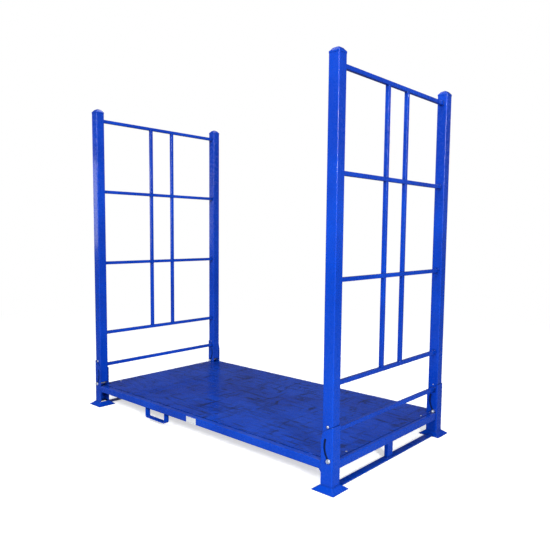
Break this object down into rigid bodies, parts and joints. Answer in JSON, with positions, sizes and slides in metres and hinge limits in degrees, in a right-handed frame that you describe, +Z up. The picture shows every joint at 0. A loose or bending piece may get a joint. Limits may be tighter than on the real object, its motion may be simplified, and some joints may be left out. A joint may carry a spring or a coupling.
{
  "type": "folding tyre storage rack",
  "caption": "Stacking steel tyre rack: deck with corner sockets and flared feet, and two end frames of posts, rails and bars that lift and fold flat onto the deck.",
  "frame": {"origin": "on the ground under the middle of the rack", "axes": "+X along the long side towards the right end, +Y across the rack from the front (the side with the label) to the rear, +Z up"},
  "size_m": [2.468, 1.412, 2.4],
  "materials": {
    "blue_powder_coat": "glossy royal blue powder coat over steel tube, sheet and plate",
    "zinc_plate": "bright zinc plated bolts, nuts and pins",
    "label_film": "blank white label film, satin"
  },
  "bodies": {
    "base": {"deck_sheet": "blue_powder_coat", "deck_cross_member_left": "blue_powder_coat", "deck_cross_member_right": "blue_powder_coat", "side_beam_front": "blue_powder_coat", "side_beam_rear": "blue_powder_coat", "fork_loop_front": "blue_powder_coat", "fork_loop_rear": "blue_powder_coat", "label_plate": "label_film", "end_beam_left": "blue_powder_coat", "end_beam_right": "blue_powder_coat", "lower_strap_left": "blue_powder_coat", "lower_strap_right": "blue_powder_coat", "fork_divider_left": "blue_powder_coat", "fork_divider_right": "blue_powder_coat", "corner_socket_left_front": "blue_powder_coat", "corner_socket_left_rear": "blue_powder_coat", "corner_socket_right_front": "blue_powder_coat", "corner_socket_right_rear": "blue_powder_coat", "flared_foot_left_front": "blue_powder_coat", "flared_foot_left_rear": "blue_powder_coat", "flared_foot_right_front": "blue_powder_coat", "flared_foot_right_rear": "blue_powder_coat"},
    "left_pivots": {"pivot_bolt_left_front": "zinc_plate", "pivot_bolt_left_rear": "zinc_plate"},
    "left_frame": {"frame_post_left_front": "blue_powder_coat", "frame_post_left_rear": "blue_powder_coat", "post_cap_left_front": "blue_powder_coat", "post_cap_left_rear": "blue_powder_coat", "stop_pin_left_front": "zinc_plate", "stop_pin_left_rear": "zinc_plate", "frame_rail_1_left": "blue_powder_coat", "frame_rail_2_left": "blue_powder_coat", "frame_rail_3_left": "blue_powder_coat", "frame_rail_4_left": "blue_powder_coat", "frame_rail_5_left": "blue_powder_coat", "frame_bar_1_left_front": "blue_powder_coat", "frame_bar_1_left_rear": "blue_powder_coat", "frame_bar_2_left_front": "blue_powder_coat", "frame_bar_2_left_rear": "blue_powder_coat", "frame_bar_3_left_front": "blue_powder_coat", "frame_bar_3_left_rear": "blue_powder_coat"},
    "right_pivots": {"pivot_bolt_right_front": "zinc_plate", "pivot_bolt_right_rear": "zinc_plate"},
    "right_frame": {"frame_post_right_front": "blue_powder_coat", "frame_post_right_rear": "blue_powder_coat", "post_cap_right_front": "blue_powder_coat", "post_cap_right_rear": "blue_powder_coat", "stop_pin_right_front": "zinc_plate", "stop_pin_right_rear": "zinc_plate", "frame_rail_1_right": "blue_powder_coat", "frame_rail_2_right": "blue_powder_coat", "frame_rail_3_right": "blue_powder_coat", "frame_rail_4_right": "blue_powder_coat", "frame_rail_5_right": "blue_powder_coat", "frame_bar_1_right_front": "blue_powder_coat", "frame_bar_1_right_rear": "blue_powder_coat", "frame_bar_2_right_front": "blue_powder_coat", "frame_bar_2_right_rear": "blue_powder_coat", "frame_bar_3_right_front": "blue_powder_coat", "frame_bar_3_right_rear": "blue_powder_coat"}
  },
  "joints": [
    {"name": "left_lift", "type": "hinge", "parent": "base", "child": "left_pivots", "pos_m": [-1.27426, 0, 0.2555], "axis": [0, -1, 0], "range_deg": [0, 21.35]},
    {"name": "left_fold", "type": "hinge", "parent": "left_pivots", "child": "left_frame", "pos_m": [-1.1715, 0, 0.174], "axis": [0, 1, 0], "range_deg": [0, 111.35]},
    {"name": "right_lift", "type": "hinge", "parent": "base", "child": "right_pivots", "pos_m": [1.27426, 0, 0.2555], "axis": [0, 1, 0], "range_deg": [0, 53.44]},
    {"name": "right_fold", "type": "hinge", "parent": "right_pivots", "child": "right_frame", "pos_m": [1.1715, 0, 0.174], "axis": [0, -1, 0], "range_deg": [0, 143.44]}
  ],
  "couplings": [
    {"joint": "left_lift", "follows": "left_fold", "ratio": 0.19172},
    {"joint": "right_lift", "follows": "right_fold", "ratio": 0.37257}
  ]
}
